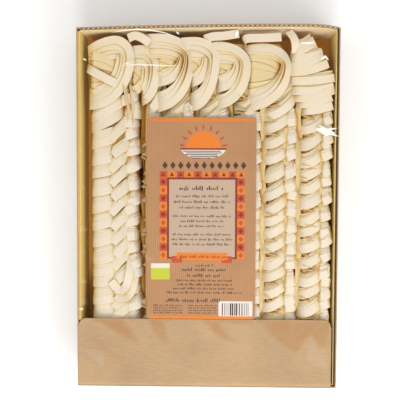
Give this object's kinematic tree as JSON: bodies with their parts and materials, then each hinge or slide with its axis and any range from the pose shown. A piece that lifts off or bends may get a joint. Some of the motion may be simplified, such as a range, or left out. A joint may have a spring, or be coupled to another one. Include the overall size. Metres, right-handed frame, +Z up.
{
  "type": "pack of dry pasta nests",
  "caption": "Sealed flat pack of dry ribbon pasta: twisted nests lie side by side in a shallow corrugated kraft tray under a paper label and clear film.",
  "frame": {"origin": "middle of the tray's underside, on the surface that the pack lies on", "axes": "+Z up out of the tray's open front, +Y along the nests towards the tray's top wall, +X across the pack to the right of someone who reads the label"},
  "size_m": [0.23, 0.317, 0.0486],
  "materials": {
    "kraft_board": "matt brown corrugated board",
    "dry_pasta": "matt, pale cream semolina dough, dried",
    "printed_paper": "matt brown paper with a flat print",
    "clear_film": "thin clear glossy film"
  },
  "bodies": {
    "root": {"tray": "kraft_board", "nest_1": "dry_pasta", "nest_2": "dry_pasta", "nest_3": "dry_pasta", "nest_4": "dry_pasta", "nest_5": "dry_pasta", "nest_6": "dry_pasta", "nest_7": "dry_pasta", "label": "printed_paper", "film": "clear_film"}
  },
  "joints": []
}
